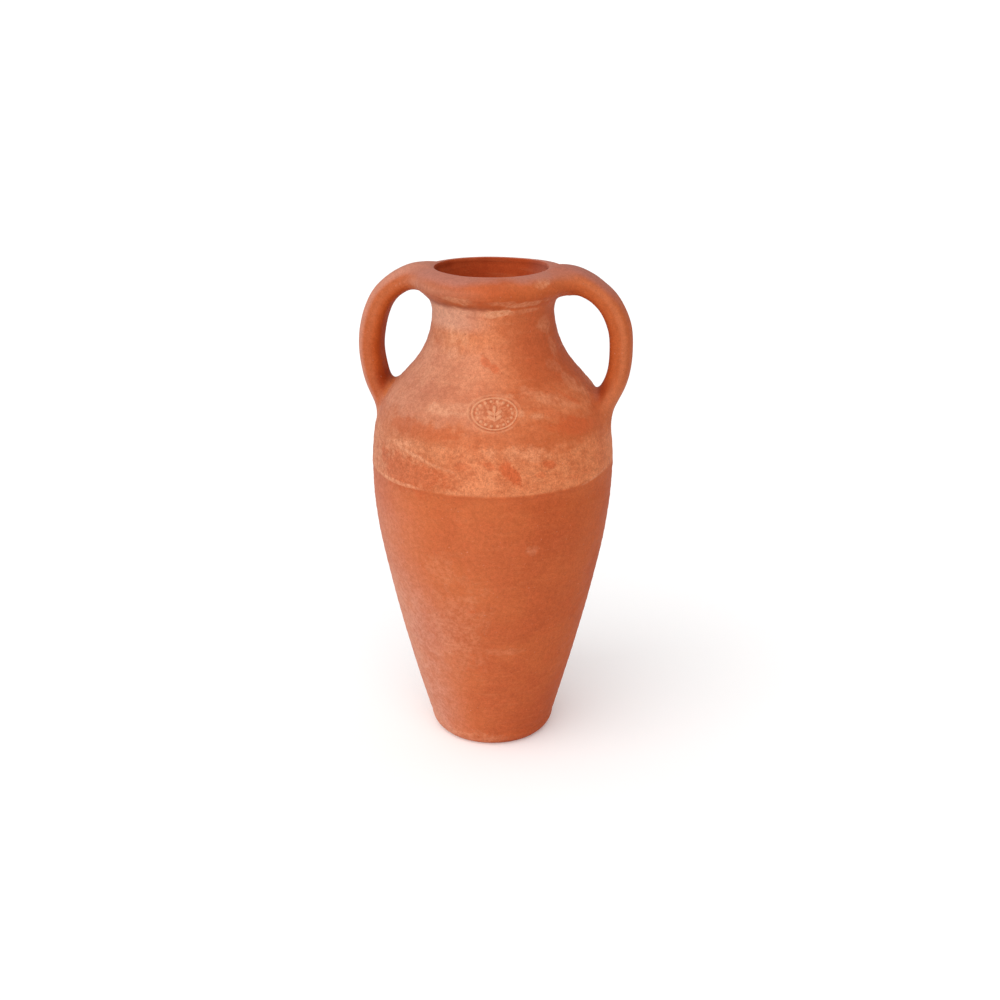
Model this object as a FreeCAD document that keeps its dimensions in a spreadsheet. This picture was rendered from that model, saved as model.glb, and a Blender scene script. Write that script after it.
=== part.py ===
"""A two-handled terracotta amphora, 500 mm tall, as the clay pieces it is luted together from.

+Z is up, the origin is the centre of the foot on the surface it stands on, and the two
handles lie along X.  Every driving size is a cell of the "dims" spreadsheet, in millimetres
and degrees.  The vessel's wall is one chain of tangent arcs that starts at the belly seam and
runs down to the foot slab and up to the rim, so the pieces meet exactly at their joints.
"""
import FreeCAD, Part, Sketcher

import math
import os
from types import SimpleNamespace

V = FreeCAD.Vector

# alias: (value, what it is)
CELLS = {
    "height": (500, "foot to the top of the lip"),
    "wall": (11, "wall thickness, measured square to the wall"),
    "belly_r": (122.7, "outer radius at the belly seam, the widest level"),
    "belly_z": (301, "height of the belly seam"),
    "flank_bend": (466, "radius of the outline just under the belly"),
    "flank_lean": (11.1, "lean of the wall at the end of that bend"),
    "leg_bend": (2225, "radius of the long outline down to the foot"),
    "leg_lean": (16.3, "lean of the wall at the foot slab"),
    "crown_bend": (232, "radius of the outline just over the belly"),
    "crown_lean": (8.9, "lean of the wall at the end of that bend"),
    "turn_bend": (91, "radius of the turn onto the shoulder"),
    "slope_lean": (41.2, "lean of the straight shoulder slope"),
    "slope_len": (23.5, "length of the straight shoulder slope"),
    "throat_bend": (90, "radius of the hollow curve into the neck"),
    "collar_z": (468, "height of the fold where rim and neck meet"),
    "fold_r": (64.5, "outer radius of the rim's underside, just outside the fold"),
    "fold_z": (470, "height of that underside"),
    "roll_r": (77.5, "outermost radius of the rolled rim"),
    "roll_z": (486, "height of the roll's outermost line"),
    "roll_under": (17, "radius of the roll's lower half"),
    "roll_over": (14, "radius of the roll's upper half"),
    "lip_r": (71, "radius where the sloping top of the lip begins"),
    "lip_z": (497.6, "height where the sloping top of the lip begins"),
    "lip_round": (3.5, "radius of the lip's inner edge"),
    "mouth_r": (56.6, "inner radius of the mouth"),
    "flare_bend": (62, "radius of the flare inside the rim"),
    "floor_r": (57, "radius of the flat the vessel stands on"),
    "heel_bend": (18, "radius of the rounded heel"),
    "slab": (14, "thickness of the foot slab in the middle"),
    "dish_r": (49, "radius of the slab's flat inside floor"),
    "dish_bend": (8, "radius between that floor and the wall"),
    "drain_r": (10, "radius of the drain hole"),
    "reach_left": (125.4, "axis to the centreline of the left handle at its widest"),
    "reach_right": (128.8, "axis to the centreline of the right handle at its widest"),
    "strap_thick": (24, "thickness of a handle strap"),
    "strap_wide": (32, "width of a handle strap, front to back"),
    "root_r": (62, "radius at which a strap's centreline starts inside the rim"),
    "head_bend": (59.5, "radius of the strap's upper bend, a quarter turn"),
    "bow_z": (428, "height where the upper bend ends and the strap is widest"),
    "bow_left": (10, "straight drop of the left strap below that height"),
    "bow_right": (4, "straight drop of the right strap below that height"),
    "tail_bend": (100, "radius of the strap's lower bend"),
    "tail_turn": (43, "angle through which the lower bend turns"),
    "tail_smear": (9, "fillet of the clay wiped round a handle's root on the shoulder"),
    "wad_r": (74, "axis to the middle of the clay wad under a handle's head"),
    "wad_z": (479, "height of the middle of that wad"),
    "wad_reach": (13, "half the wad's length, along the strap"),
    "wad_side": (18, "half the wad's width, across the strap"),
    "wad_deep": (10, "half the wad's height"),
    "coil_r": (5.5, "radius of the clay coil pressed into an inside seam"),
}


class Size:
    """A length or angle: its present value and the expression that binds it to the sheet."""

    def __init__(self, value, text):
        self.value = value
        self.text = text

    def __add__(self, other):
        other = size(other)
        return Size(self.value + other.value, f"({self.text} + {other.text})")

    def __sub__(self, other):
        other = size(other)
        return Size(self.value - other.value, f"({self.text} - {other.text})")

    def __mul__(self, other):
        other = size(other)
        return Size(self.value * other.value, f"({self.text} * {other.text})")

    def __neg__(self):
        return self * -1


def size(number):
    return number if isinstance(number, Size) else Size(number, str(number))


def sine(angle):
    return Size(math.sin(math.radians(angle.value)), f"sin({angle.text})")


def cosine(angle):
    return Size(math.cos(math.radians(angle.value)), f"cos({angle.text})")


def make_sheet(doc):
    """The spreadsheet of driving sizes, and the same sizes as names for the functions below."""
    sheet = doc.addObject("Spreadsheet::Sheet", "dims")
    for row, (alias, (value, meaning)) in enumerate(CELLS.items(), start=1):
        sheet.set(f"A{row}", meaning)
        sheet.set(f"B{row}", str(value))
        sheet.setAlias(f"B{row}", alias)
    doc.recompute()
    return SimpleNamespace(**{alias: Size(value, f"dims.{alias}") for alias, (value, _) in CELLS.items()})


# ---------------------------------------------------------------- sketches

OUTWARD, INWARD = 1, -1


def origin_feature(body, role):
    return next(feature for feature in body.Origin.OriginFeatures if feature.Role == role)


def new_sketch(body, name, role):
    sketch = body.newObject("Sketcher::SketchObject", name)
    sketch.AttachmentSupport = (origin_feature(body, role), [""])
    sketch.MapMode = "FlatFace"
    return sketch


def edge_between(start, end, bend):
    """A straight edge, or an arc of the bend's radius that bulges towards +X or -X."""
    p, q = (V(corner[0].value, corner[1].value, 0) for corner in (start, end))
    if bend is None:
        return Part.LineSegment(p, q)
    radius, bulge = bend[0].value, bend[1]
    chord = q - p
    normal = V(chord.y, -chord.x, 0).normalize()
    if normal.x * bulge < 0:
        normal = -normal
    centre = (p + q) / 2 - normal * math.sqrt(radius**2 - chord.Length**2 / 4)
    return Part.Arc(p, centre + normal * radius, q)


def draw(sketch, corners, bends, closed=True):
    """Edges through the corners, with every corner and every radius bound to the sheet."""
    count = len(corners)
    spans = [(i, (i + 1) % count) for i in range(count if closed else count - 1)]
    ends = []
    for (i, j), bend in zip(spans, bends):
        index = sketch.addGeometry(edge_between(corners[i], corners[j], bend))
        start = V(corners[i][0].value, corners[i][1].value, 0)
        runs_forward = (sketch.getPoint(index, 1) - start).Length < 1e-6
        ends.append((1, 2) if runs_forward else (2, 1))
        if bend is not None:
            fixed = sketch.addConstraint(Sketcher.Constraint("Radius", index, bend[0].value))
            sketch.setExpression(f"Constraints[{fixed}]", bend[0].text)
    for index in range(len(spans) if closed else len(spans) - 1):
        after = (index + 1) % len(spans)
        sketch.addConstraint(
            Sketcher.Constraint("Coincident", index, ends[index][1], after, ends[after][0])
        )
    for i, corner in enumerate(corners):
        index, vertex = (i, ends[i][0]) if i < len(spans) else (i - 1, ends[i - 1][1])
        for kind, distance in zip(("DistanceX", "DistanceY"), corner):
            place = Sketcher.Constraint(kind, -1, 1, index, vertex, distance.value)
            fixed = sketch.addConstraint(place)
            sketch.setExpression(f"Constraints[{fixed}]", distance.text)


def turned(doc, label, corners, bends):
    """A body turned about Z from the closed outline given as (radius, height) corners."""
    body = doc.addObject("PartDesign::Body", label)
    sketch = new_sketch(body, f"{label}_outline", "XZ_Plane")
    draw(sketch, corners, bends)
    turn = body.newObject("PartDesign::Revolution", f"{label}_turned")
    turn.Profile = sketch
    turn.ReferenceAxis = (sketch, ["V_Axis"])
    turn.Angle = 360
    return body


# ---------------------------------------------------------------- the wall


class Level:
    """A level of the wall: radius and height of the outer skin, and how far the wall leans."""

    def __init__(self, r, z, lean, climb):
        self.r, self.z, self.lean, self.climb = r, z, lean, climb

    def bend(self, radius, lean):
        """The level where an arc has turned the wall to a new lean; a hollow arc is negative."""
        r = self.r - radius * (cosine(self.lean) - cosine(lean))
        z = self.z + radius * (sine(lean) - sine(self.lean)) * self.climb
        return Level(r, z, lean, self.climb)

    def straight(self, length):
        r = self.r - length * sine(self.lean)
        return Level(r, self.z + length * cosine(self.lean) * self.climb, self.lean, self.climb)

    def outer(self):
        return self.r, self.z

    def inner(self, wall):
        return self.r - wall * cosine(self.lean), self.z - wall * sine(self.lean) * self.climb


def wall_levels(d):
    """The named levels of the wall, from the belly seam up to the fold and down to the slab."""
    upright = size(0)
    belly = Level(d.belly_r, d.belly_z, upright, 1)
    crown = belly.bend(d.crown_bend, d.crown_lean)
    turn = crown.bend(d.turn_bend, d.slope_lean)
    slope = turn.straight(d.slope_len)
    throat = slope.bend(-d.throat_bend, upright)
    fold = Level(throat.r, d.collar_z, upright, 1)
    under = Level(d.belly_r, d.belly_z, upright, -1)
    flank = under.bend(d.flank_bend, d.flank_lean)
    leg = flank.bend(d.leg_bend, d.leg_lean)
    return SimpleNamespace(
        belly=belly, crown=crown, turn=turn, slope=slope, throat=throat, fold=fold,
        under=under, flank=flank, leg=leg,
    )


def shoulder_corners(w, wall):
    skin = [level.outer() for level in (w.belly, w.crown, w.turn, w.slope)]
    lining = [level.inner(wall) for level in (w.slope, w.turn, w.crown, w.belly)]
    return skin + lining


def make_vessel(doc, d, w):
    """The four turned pieces of the wall and the slab under them, keyed by their names."""
    crown, turn = (d.crown_bend, OUTWARD), (d.turn_bend, OUTWARD)
    crown_lining, turn_lining = (d.crown_bend - d.wall, OUTWARD), (d.turn_bend - d.wall, OUTWARD)
    shoulder = turned(
        doc, "shoulder", shoulder_corners(w, d.wall),
        [crown, turn, None, None, None, turn_lining, crown_lining, None],
    )
    neck = turned(
        doc, "neck",
        [w.slope.outer(), w.throat.outer(), w.fold.outer(),
         w.fold.inner(d.wall), w.throat.inner(d.wall), w.slope.inner(d.wall)],
        [(d.throat_bend, INWARD), None, None, None, (d.throat_bend + d.wall, INWARD), None],
    )
    rim = turned(
        doc, "rim",
        [*rim_profile(d, w), (d.mouth_r, d.height - d.lip_round), w.fold.inner(d.wall)],
        [None, (d.roll_under, OUTWARD), (d.roll_over, OUTWARD), None,
         (d.lip_round, INWARD), (d.flare_bend, INWARD), None],
    )
    lower_wall = turned(
        doc, "lower_wall",
        [w.under.outer(), w.flank.outer(), w.leg.outer(),
         w.leg.inner(d.wall), w.flank.inner(d.wall), w.under.inner(d.wall)],
        [(d.flank_bend, OUTWARD), (d.leg_bend, OUTWARD), None,
         (d.leg_bend - d.wall, OUTWARD), (d.flank_bend - d.wall, OUTWARD), None],
    )
    base_slab = turned(
        doc, "base_slab",
        [(d.drain_r, size(0)), (d.floor_r, size(0)), w.leg.outer(),
         w.leg.inner(d.wall), (d.dish_r, d.slab), (d.drain_r, d.slab)],
        [None, (d.heel_bend, OUTWARD), None, (d.dish_bend, OUTWARD), None, None],
    )
    return SimpleNamespace(
        lower_wall=lower_wall, shoulder=shoulder, neck=neck, rim=rim, base_slab=base_slab
    )


def rim_profile(d, w):
    """The outside of the rim, from the fold over the roll and up the lip to its crest."""
    crest = (d.mouth_r + d.lip_round, d.height)
    return [w.fold.outer(), (d.fold_r, d.fold_z), (d.roll_r, d.roll_z), (d.lip_r, d.lip_z), crest]


# ---------------------------------------------------------------- handles


def add_core(body, d, w):
    """The solid bulk of the vessel from the belly up, which the handles are pressed onto."""
    axis = size(0)
    outline = [w.belly, w.crown, w.turn, w.slope, w.throat]
    corners = [level.outer() for level in outline] + rim_profile(d, w)
    corners += [(axis, d.height), (axis, d.belly_z)]
    bends = [(d.crown_bend, OUTWARD), (d.turn_bend, OUTWARD), None, (d.throat_bend, INWARD), None,
             None, (d.roll_under, OUTWARD), (d.roll_over, OUTWARD), None, None, None, None]
    sketch = new_sketch(body, f"{body.Name}_core_outline", "XZ_Plane")
    draw(sketch, corners, bends)
    turn = body.newObject("PartDesign::Revolution", f"{body.Name}_core")
    turn.Profile = sketch
    turn.ReferenceAxis = (sketch, ["V_Axis"])
    turn.Angle = 360
    return turn


def add_strap(body, d, reach, drop):
    """One handle: an oval strap that leaves the rim level, bends down and runs into the wall."""
    head_r, head_z = reach - d.head_bend, d.bow_z + d.head_bend
    tail_z = d.bow_z - drop
    route = [
        (d.root_r, head_z),
        (head_r, head_z),
        (reach, d.bow_z),
        (reach, tail_z),
        (reach - d.tail_bend + d.tail_bend * cosine(d.tail_turn),
         tail_z - d.tail_bend * sine(d.tail_turn)),
    ]
    spine = new_sketch(body, f"{body.Name}_spine", "XZ_Plane")
    draw(spine, route, [None, (d.head_bend, OUTWARD), None, (d.tail_bend, OUTWARD)], closed=False)

    oval = new_sketch(body, f"{body.Name}_section", "YZ_Plane")
    oval.AttachmentOffset = FreeCAD.Placement(V(0, head_z.value, d.root_r.value), FreeCAD.Rotation())
    oval.setExpression("AttachmentOffset.Base.y", head_z.text)
    oval.setExpression("AttachmentOffset.Base.z", d.root_r.text)
    wide, thick = d.strap_wide, d.strap_thick
    ring = oval.addGeometry(Part.Ellipse(V(wide.value / 2, 0, 0), V(0, thick.value / 2, 0), V(0, 0, 0)))
    oval.exposeInternalGeometry(ring)
    major, minor = ring + 1, ring + 2
    oval.addConstraint(Sketcher.Constraint("Coincident", ring, 3, -1, 1))
    oval.addConstraint(Sketcher.Constraint("Horizontal", major))
    for axis, span in ((major, wide), (minor, thick)):
        fixed = oval.addConstraint(Sketcher.Constraint("Distance", axis, span.value))
        oval.setExpression(f"Constraints[{fixed}]", span.text)

    strap = body.newObject("PartDesign::AdditivePipe", f"{body.Name}_strap")
    strap.Profile = oval
    strap.Spine = (spine, [f"Edge{number}" for number in range(1, len(route))])
    return strap


def cut(doc, label, base, *tools):
    """The base less every tool, as nested Part cuts of which the last carries the label."""
    for number, tool in enumerate(tools, start=1):
        last = number == len(tools)
        piece = doc.addObject("Part::Cut", label if last else f"{label}_less_{tool.Name}")
        piece.Base, piece.Tool = base, tool
        base = piece
    return base


def root_edges(joined, below):
    """Names of the edges where strap and wall cross below the given height."""
    names = []
    for number, edge in enumerate(joined.Shape.Edges, start=1):
        box = edge.BoundBox
        crossing = edge.Curve.TypeId == "Part::GeomBSplineCurve" and box.XMin > 0
        if crossing and box.ZMax < below:
            names.append(f"Edge{number}")
    return names


def make_handle(doc, d, w, side, reach, drop, core):
    """A strap with the wad of clay under its head and the clay wiped round its tail."""
    label = f"handle_{side}"
    facing = FreeCAD.Placement(V(), FreeCAD.Rotation(V(0, 0, 1), 180 if side == "left" else 0))

    whole_strap = doc.addObject("PartDesign::Body", f"{side}_strap")
    add_strap(whole_strap, d, reach, drop)
    whole_strap.Placement = facing

    wiped = doc.addObject("PartDesign::Body", f"{side}_tail_wiped")
    add_core(wiped, d, w)
    joined = add_strap(wiped, d, reach, drop)
    doc.recompute()
    smear = wiped.newObject("PartDesign::Fillet", f"{side}_tail_smear")
    smear.Base = (joined, root_edges(joined, d.bow_z.value))
    smear.Radius = d.tail_smear.value
    smear.setExpression("Radius", d.tail_smear.text)
    wiped.Placement = facing

    lump = doc.addObject("Part::Ellipsoid", f"{side}_head_lump")
    for axis, half in (("Radius1", d.wad_deep), ("Radius2", d.wad_reach), ("Radius3", d.wad_side)):
        setattr(lump, axis, half.value)
        lump.setExpression(axis, half.text)
    lump_r = -d.wad_r if side == "left" else d.wad_r
    lump.setExpression("Placement.Base.x", lump_r.text)
    lump.setExpression("Placement.Base.z", d.wad_z.text)

    return {
        label: cut(doc, label, whole_strap, core),
        f"{label}_head_wad": cut(doc, f"{label}_head_wad", lump, core, whole_strap),
        f"{label}_foot_wad": cut(doc, f"{label}_foot_wad", wiped, core, whole_strap),
    }


# ---------------------------------------------------------------- inside coils


def make_coil(doc, d, label, corner, walls):
    """A coil of clay pressed round the inside of a seam, as much of it as stands proud."""
    ring = doc.addObject("Part::Torus", f"{label}_ring")
    for size_name, bound in (("Radius1", corner[0]), ("Radius2", d.coil_r)):
        setattr(ring, size_name, bound.value)
        ring.setExpression(size_name, bound.text)
    ring.setExpression("Placement.Base.z", corner[1].text)
    return cut(doc, label, ring, *walls)


# ---------------------------------------------------------------- the amphora


def build():
    doc = FreeCAD.newDocument("amphora")
    d = make_sheet(doc)
    w = wall_levels(d)
    vessel = make_vessel(doc, d, w)
    core = doc.addObject("PartDesign::Body", "core")
    add_core(core, d, w)

    pieces = dict(vars(vessel))
    pieces |= make_handle(doc, d, w, "left", d.reach_left, d.bow_left, core)
    pieces |= make_handle(doc, d, w, "right", d.reach_right, d.bow_right, core)
    for label, level, walls in (
        ("belly_seam_coil", w.belly, (vessel.lower_wall, vessel.shoulder)),
        ("neck_seam_coil", w.slope, (vessel.shoulder, vessel.neck)),
        ("base_seam_coil", w.leg, (vessel.base_slab, vessel.lower_wall)),
    ):
        pieces[label] = make_coil(doc, d, label, level.inner(d.wall), walls)
    doc.recompute()
    return doc, pieces


def check(doc, pieces):
    for item in doc.Objects:
        faults = [state for state in item.State if state in ("Invalid", "Error")]
        if faults:
            raise RuntimeError(f"{item.Label} did not recompute: {faults}")
    for label, piece in pieces.items():
        if piece.Label != label or piece.Shape.isNull() or not piece.Shape.isValid():
            raise RuntimeError(f"{label} has no valid shape")


def main():
    doc, pieces = build()
    check(doc, pieces)
    os.makedirs("parts", exist_ok=True)
    for label, piece in pieces.items():
        piece.Shape.exportStep(f"parts/{label}.step")
        print(f"{label:24s} {len(piece.Shape.Solids)} solid  {piece.Shape.Volume / 1000:8.1f} cm3")


main()
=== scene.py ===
"""A weathered two-handled terracotta amphora on a pale floor.

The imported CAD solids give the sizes.  Each one is replaced by a hand-made version of itself:
the wall pieces are turned from the CAD's own profile and then made slightly uneven, the rim is
rolled over the neck, a generic oval stamp is pressed into the shoulder, the handles are pulled
straps, and the clay wiped round their roots runs smoothly into the wall.
"""
import math

import bpy
import numpy as np
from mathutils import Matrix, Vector, noise
from mathutils.bvhtree import BVHTree


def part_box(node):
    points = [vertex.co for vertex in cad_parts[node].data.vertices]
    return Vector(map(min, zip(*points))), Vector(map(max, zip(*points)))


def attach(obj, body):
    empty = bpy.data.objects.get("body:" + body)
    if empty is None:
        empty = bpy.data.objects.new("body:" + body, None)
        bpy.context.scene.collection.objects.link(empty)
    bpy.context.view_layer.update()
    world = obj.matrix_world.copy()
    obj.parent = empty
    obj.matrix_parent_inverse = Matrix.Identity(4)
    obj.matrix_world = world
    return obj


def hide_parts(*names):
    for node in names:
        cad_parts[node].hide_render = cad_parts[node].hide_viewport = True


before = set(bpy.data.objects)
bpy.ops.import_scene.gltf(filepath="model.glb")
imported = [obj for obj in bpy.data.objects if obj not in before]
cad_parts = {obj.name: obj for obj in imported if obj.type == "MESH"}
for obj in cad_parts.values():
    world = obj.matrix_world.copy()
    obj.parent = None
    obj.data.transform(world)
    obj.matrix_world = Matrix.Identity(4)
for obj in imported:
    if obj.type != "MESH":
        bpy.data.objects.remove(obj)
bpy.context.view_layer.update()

MM = 0.001
TURN = 2 * math.pi
FRONT = math.radians(10.5)  # the side the camera and the stamp are on, measured from -Y to +X
BODY = "root"

# ---- the CAD's profile

VESSEL = ("base_slab", "lower_wall", "shoulder", "neck", "rim")


def ray_tree(meshes, unit):
    """One ray-casting tree over several meshes, with its points in the given unit of length."""
    points, faces = [], []
    for mesh in meshes:
        start = len(points)
        points += [v.co / unit for v in mesh.vertices]
        faces += [[start + i for i in p.vertices] for p in mesh.polygons]
    return BVHTree.FromPolygons(points, faces)


class Profile:
    """Radius of one skin of the CAD vessel against height, in millimetres, lightly smoothed."""

    STEP = 0.5  # from one level to the next
    BLUR = 1.6  # how far the smoothing reaches
    OUTSIDE = 0.3  # where a ray from outside starts, in metres from the axis

    def __init__(self, tree, outside, low, high):
        self.heights = np.arange(low, high + self.STEP / 2, self.STEP)
        start, aim = (self.OUTSIDE, -1) if outside else (0.0, 1)
        radii = []
        for height in self.heights:
            hit = tree.ray_cast(Vector((0, start, height * MM)), Vector((0, aim, 0)))[0]
            radii.append(abs(hit.y) / MM)
        self.radii = self.smoothed(radii)
        self.slopes = np.gradient(self.radii, self.STEP)
        self.lengths = np.concatenate([[0], np.cumsum(np.hypot(np.diff(self.radii), self.STEP))])

    def smoothed(self, radii):
        """The radii under a bell-shaped average, each end carried on straight past itself."""
        reach = int(4 * self.BLUR / self.STEP)
        weights = np.exp(-0.5 * (np.arange(-reach, reach + 1) * self.STEP / self.BLUR) ** 2)
        padded = np.concatenate([
            2 * radii[0] - np.array(radii[reach:0:-1]),
            radii,
            2 * radii[-1] - np.array(radii[-2:-reach - 2:-1]),
        ])
        return np.convolve(padded, weights / weights.sum(), "valid")

    def radius(self, height):
        return np.interp(height, self.heights, self.radii)

    def slope(self, height):
        return np.interp(height, self.heights, self.slopes)

    def length(self, height):
        """Distance along the skin from its lowest level."""
        return np.interp(height, self.heights, self.lengths)


vessel_tree = ray_tree([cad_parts[name].data for name in VESSEL], 1)
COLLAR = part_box("rim")[0].z / MM  # the fold where the rim meets the neck
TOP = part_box("rim")[1].z / MM
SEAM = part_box("shoulder")[0].z / MM  # the belly seam
NECK_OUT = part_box("shoulder")[1].z / MM  # the neck's joint, at its outer and inner edge
NECK_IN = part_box("neck")[0].z / MM
FOOT_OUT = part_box("lower_wall")[0].z / MM  # the slab's joint, the same
FOOT_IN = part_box("base_slab")[1].z / MM
outer = Profile(vessel_tree, True, 1.0, COLLAR - 0.5)
inner = Profile(vessel_tree, False, FOOT_IN + 0.5, COLLAR - 0.5)

# ---- unevenness of the clay

LEAN_HEIGHT = 425.0  # where the neck is pushed over to the right and squeezed the most


def on_circle(angle, radius, height):
    """Points round the pot's axis, their angle measured from -Y towards +X, in millimetres."""
    return np.stack([radius * np.sin(angle), -radius * np.cos(angle), height + 0 * angle], -1)


def lump(points, size, seed):
    """Smooth noise from about -1 to 1 over an array of points in millimetres."""
    shift = Vector((seed * 7.31, seed * 3.17, seed * 5.43))
    flat = points.reshape(-1, 3) / size
    values = [noise.noise(Vector(p) + shift) for p in flat]
    return np.array(values).reshape(points.shape[:-1])


def throwing_rings(angle, height, points):
    """The faint rings the thrower's fingers left on the outside, which wander up and down."""
    drift = height + 1.2 * np.sin(angle + height / 60) + 4 * lump(points, 160, 3)
    return 0.10 * np.sin(drift * TURN / 11.5) + 0.07 * np.sin(drift * TURN / 4.7 + 1.3)


def unevenness(angle, height, radius):
    """How far the outer skin stands off the CAD profile, in millimetres."""
    points = on_circle(angle, radius, height)
    oval = 0.55 * np.cos(2 * angle + 0.8 + height / 170) + 0.3 * np.cos(3 * angle - 1.1 - height / 110)
    dents = 0.5 * lump(points, 95, 1) + 0.16 * lump(points, 22, 2)
    offset = (0.65 * np.sin(angle) - 0.35) * np.exp(-((height - LEAN_HEIGHT) / 45) ** 2)
    fade = np.clip((COLLAR + 4 - height) / 30, 0.25, 1) * np.clip(height / 18, 0, 1)
    return (oval + dents + throwing_rings(angle, height, points)) * fade + offset


def seam_ridge(height, proud):
    """The upper half of the pot stands a hair proud of the lower half at the belly seam."""
    return proud * np.exp(-np.clip(height - SEAM, 0, None) / 9)


def fold_flare(height):
    """The neck opens a little as it runs up into the rolled rim."""
    return 2.2 * np.clip((height - COLLAR + 11) / 11, 0, 1) ** 2


# ---- the stamp

STAMP_ANGLE = FRONT + math.radians(1.0)
STAMP_HEIGHT = 380.0
STAMP_HALF = (24.0, 18.0)  # half width and half height along the clay
STAMP_REACH = 1.3  # how far the dense mesh runs, in half widths
STAMP_SUNK = 1.25  # depth of the field
BEADS = 18
BEAD_RING = 0.72  # where the beads sit, as a share of the oval
LEAF_ROOTS = (-7.0, -2.2)  # levels on the stem where a pair of leaves starts
LEAF_LEAN = math.radians(52)


def ridge(distance, half, height):
    """A raised line with a soft top: its height where the distance from it is small."""
    return height * np.clip(1 - (distance / half) ** 2, 0, 1)


def leaf(u, v, root, lean, length, width):
    """One raised leaf with a sunk midrib, from its root on the stem, leaning from upright."""
    dv = v - root
    along = (u * math.sin(lean) + dv * math.cos(lean)) / length
    across = (u * math.cos(lean) - dv * math.sin(lean)) / width
    blade = np.sqrt(np.clip(along * (1 - along) * 4, 0, 1))
    body = np.clip(1 - (across / (blade + 1e-6)) ** 2, 0, 1) * blade
    return 1.25 * body - 0.45 * ridge(across * width, 0.55, 1) * (body > 0.3)


def stamp_border(u, v, level):
    """The raised border of the oval, a thinner line inside it, and the ring of beads."""
    a, b = STAMP_HALF
    lines = np.maximum(ridge((level - 1.06) * b, 1.7, 0.7), ridge((level - 0.90) * b, 1.15, 1.3))
    step = TURN / BEADS
    nearest = np.round(np.arctan2(v / b, u / a) / step) * step
    bead_u = BEAD_RING * a * np.cos(nearest)
    bead_v = BEAD_RING * b * np.sin(nearest)
    return np.maximum(lines, ridge(np.hypot(u - bead_u, v - bead_v), 2.0, 1.4))


def stamp_sprig(u, v):
    """The stem, the leaf at its top and the pairs of leaves beside it."""
    sprig = ridge(np.hypot(u, np.clip(np.abs(v) - 7.5, 0, None)), 1.05, 1.3)
    sprig = np.maximum(sprig, leaf(u, v, 1.0, 0, 8.5, 2.3))
    for root in LEAF_ROOTS:
        for side in (-1, 1):
            sprig = np.maximum(sprig, leaf(u, v, root, side * LEAF_LEAN, 9.5, 2.4))
    return sprig


def stamp_relief(u, v):
    """The impressed oval's relief, and the raised part of it alone."""
    level = np.hypot(u / STAMP_HALF[0], v / STAMP_HALF[1])
    inside = 1 / (1 + np.exp((level - 1) * 30))
    worn = 0.85 + 0.5 * np.clip(lump(np.stack([u, v, 0 * u], -1), 13, 9), -0.8, 0.4)
    raised = np.maximum(stamp_border(u, v, level), stamp_sprig(u, v) * inside) * worn
    return raised - STAMP_SUNK * inside * worn, raised


def stamp_depth(angle, height):
    """The stamp's relief at points of the outer skin, zero away from it, and its raised part."""
    u = (angle - STAMP_ANGLE) * outer.radius(height)
    v = outer.length(height) - outer.length(STAMP_HEIGHT)
    near = (np.abs(u) < STAMP_HALF[0] * STAMP_REACH) & (np.abs(v) < STAMP_HALF[1] * STAMP_REACH)
    relief, raised = np.zeros(near.shape), np.zeros(near.shape)
    relief[near], raised[near] = stamp_relief(u[near], v[near])
    return relief, raised


# ---- mesh helpers

SHARP_EDGE = math.radians(42)  # edges that turn by more than this are drawn sharp


def make_object(name, vertices, faces, materials, face_material=None):
    """A smooth-shaded object in the scene from points in millimetres."""
    mesh = bpy.data.meshes.new(name)
    mesh.from_pydata((np.asarray(vertices) * MM).tolist(), [], faces)
    for material in materials:
        mesh.materials.append(material)
    if face_material is not None:
        mesh.polygons.foreach_set("material_index", face_material)
    mesh.polygons.foreach_set("use_smooth", [True] * len(mesh.polygons))
    mesh.set_sharp_from_angle(angle=SHARP_EDGE)
    mesh.update()
    piece = bpy.data.objects.new(name, mesh)
    bpy.context.scene.collection.objects.link(piece)
    return piece


def mark_points(piece, name, values):
    """Stores one number at each vertex, for a material to read."""
    piece.data.attributes.new(name, "FLOAT", "POINT").data.foreach_set("value", values)


def grid_faces(rows, columns, closed=True, flip=False):
    """Quads over rows of points that each form a ring; closed joins the last row to the first."""
    faces = []
    for i in range(rows if closed else rows - 1):
        j = (i + 1) % rows
        for k in range(columns):
            m = (k + 1) % columns
            quad = [i * columns + k, i * columns + m, j * columns + m, j * columns + k]
            faces.append(quad[::-1] if flip else quad)
    return faces


def fan_faces(hub, first, columns, flip):
    """Triangles from a middle point to the ring of points that starts at the index first."""
    faces = []
    for k in range(columns):
        fan = [hub, first + k, first + (k + 1) % columns]
        faces.append(fan[::-1] if flip else fan)
    return faces


def even_angles(count):
    return np.linspace(0, TURN, count, endpoint=False)


def stamp_angles():
    """Angles round the pot, coarse everywhere but fine across the stamp."""
    coarse, fine = STAMP_COLUMNS
    half = STAMP_REACH * STAMP_HALF[0] / outer.radius(STAMP_HEIGHT)
    dense = np.linspace(STAMP_ANGLE - half, STAMP_ANGLE + half, fine)
    rest = np.linspace(STAMP_ANGLE + half, STAMP_ANGLE - half + TURN, coarse)[1:-1]
    return np.concatenate([dense, rest])


def spread(low, high, step):
    """Levels from low to high at about the given step, both ends included."""
    return np.linspace(low, high, max(2, int(round(abs(high - low) / step)) + 1))


def run_along(line):
    """Distance along a line of points, from its first one."""
    steps = np.linalg.norm(np.diff(line, axis=0), axis=1)
    return np.concatenate([[0], np.cumsum(steps)])


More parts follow.
